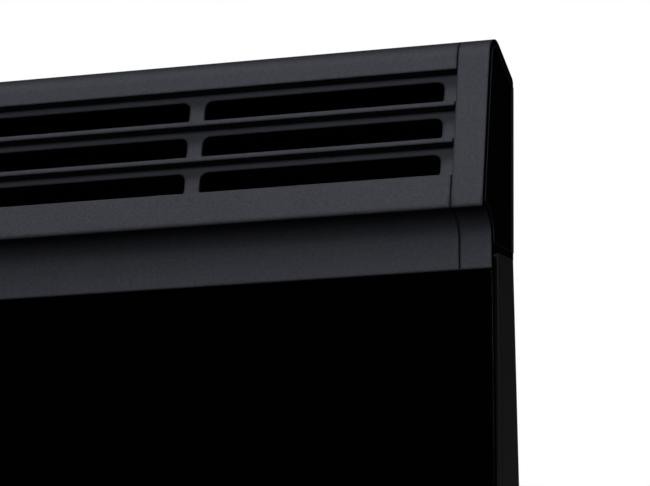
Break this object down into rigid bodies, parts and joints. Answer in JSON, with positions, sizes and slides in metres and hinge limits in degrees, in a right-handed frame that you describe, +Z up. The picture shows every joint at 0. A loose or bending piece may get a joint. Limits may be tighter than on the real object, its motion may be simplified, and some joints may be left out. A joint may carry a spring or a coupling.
{
  "type": "electric panel heater",
  "caption": "Slim wall-hung electric panel heater with a black glass front, louvred outlet head, side thermostat knob and rocker switch, on a wall bracket with sliding catches.",
  "frame": {"origin": "centre of the wall screws, on the wall face of the bracket", "axes": "+X to the viewer's right along the heater, +Y into the wall, +Z up"},
  "size_m": [0.676, 0.0881, 0.4121],
  "materials": {
    "head_coat": "anthracite fine-textured powder coat on aluminium",
    "cap_plastic": "moulded anthracite plastic, finely textured to match the coat",
    "black_glass": "toughened pane, back-painted black, polished edges",
    "bonding_tape": "black foam tape",
    "pan_coat": "black fine-textured powder coat on steel sheet",
    "screw_steel": "zinc-plated steel",
    "element_aluminium": "mill-finish extrusion",
    "sheath_steel": "steel sheath",
    "steatite": "unglazed steatite",
    "bright_sheet": "aluminised steel sheet",
    "cutout_case": "phenolic case with a steel cup",
    "control_plastic": "moulded black plastic",
    "terminal_plastic": "moulded off-white plastic",
    "nut_brass": "turned brass",
    "knob_plastic": "moulded dark plastic with a pale pointer groove",
    "switch_plastic": "glossy black plastic",
    "lamp_plastic": "amber translucent plastic",
    "bracket_coat": "black powder coat on folded steel"
  },
  "bodies": {
    "heater": {"outlet_grille": "head_coat", "end_cap_left": "cap_plastic", "end_cap_right": "cap_plastic", "front_glass": "black_glass", "glass_tape": "bonding_tape", "front_pan": "pan_coat", "rear_cover": "pan_coat", "cover_screws": "screw_steel", "element_fins": "element_aluminium", "element_rod": "sheath_steel", "element_insulator_left": "steatite", "element_insulator_right": "steatite", "element_bracket_left": "bright_sheet", "control_partition": "bright_sheet", "heat_shield": "bright_sheet", "cutout_bracket": "bright_sheet", "thermal_cutout": "cutout_case", "control_fascia": "control_plastic", "cable_gland": "control_plastic", "gland_nut": "control_plastic", "terminal_block": "terminal_plastic", "thermostat_body": "terminal_plastic", "thermostat_nut": "nut_brass", "switch_body": "switch_plastic", "indicator_lens": "lamp_plastic", "wall_bracket_left": "bracket_coat", "wall_bracket_right": "bracket_coat", "wall_bracket_rail": "bracket_coat"},
    "knob": {"thermostat_shaft": "nut_brass", "thermostat_knob": "knob_plastic"},
    "rocker": {"switch_rocker": "switch_plastic"},
    "left_catch": {"catch_left": "control_plastic"},
    "right_catch": {"catch_right": "control_plastic"}
  },
  "joints": [
    {"name": "thermostat_turn", "type": "hinge", "parent": "heater", "child": "knob", "pos_m": [0.3325, -0.0555, -0.106], "axis": [-1, 0, 0], "range_deg": [0, 270]},
    {"name": "rocker_press", "type": "hinge", "parent": "heater", "child": "rocker", "pos_m": [0.3305, -0.0555, -0.1365], "axis": [0, -1, 0], "range_deg": [0, 18]},
    {"name": "left_catch_slide", "type": "slide", "parent": "heater", "child": "left_catch", "axis": [0, 0, -1], "range_m": [0, 0.007]},
    {"name": "right_catch_slide", "type": "slide", "parent": "heater", "child": "right_catch", "axis": [0, 0, -1], "range_m": [0, 0.007]}
  ]
}
